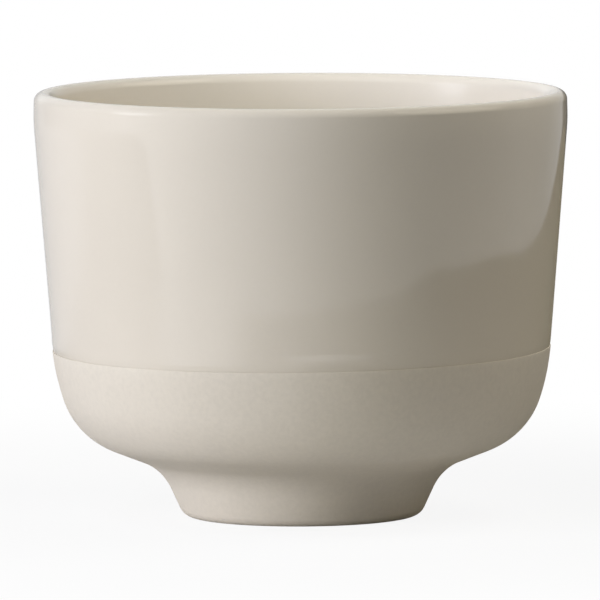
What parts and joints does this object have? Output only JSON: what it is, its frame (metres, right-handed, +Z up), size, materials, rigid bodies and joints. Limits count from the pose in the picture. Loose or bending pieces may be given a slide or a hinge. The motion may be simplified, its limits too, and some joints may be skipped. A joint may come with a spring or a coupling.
{
  "type": "mug",
  "caption": "Handleless stoneware mug on a flared foot: leaning wall, rounded lip, glossy glaze inside and down the outside to a level line, bare matte clay below and a hollow foot ring.",
  "frame": {"origin": "centre of the foot, on the surface that the mug stands on", "axes": "+Z up along the mug's axis of revolution; X and Y are level and alike"},
  "size_m": [0.1, 0.1, 0.0799],
  "materials": {
    "bare_clay": "unglazed fired stoneware, smooth and matte, warm sand grey",
    "outside_glaze": "glossy sand-coloured glaze",
    "inside_glaze": "glossy sand-coloured liner glaze"
  },
  "bodies": {
    "root": {"stoneware_body": "bare_clay", "outer_glaze": "outside_glaze", "inner_glaze": "inside_glaze"}
  },
  "joints": []
}
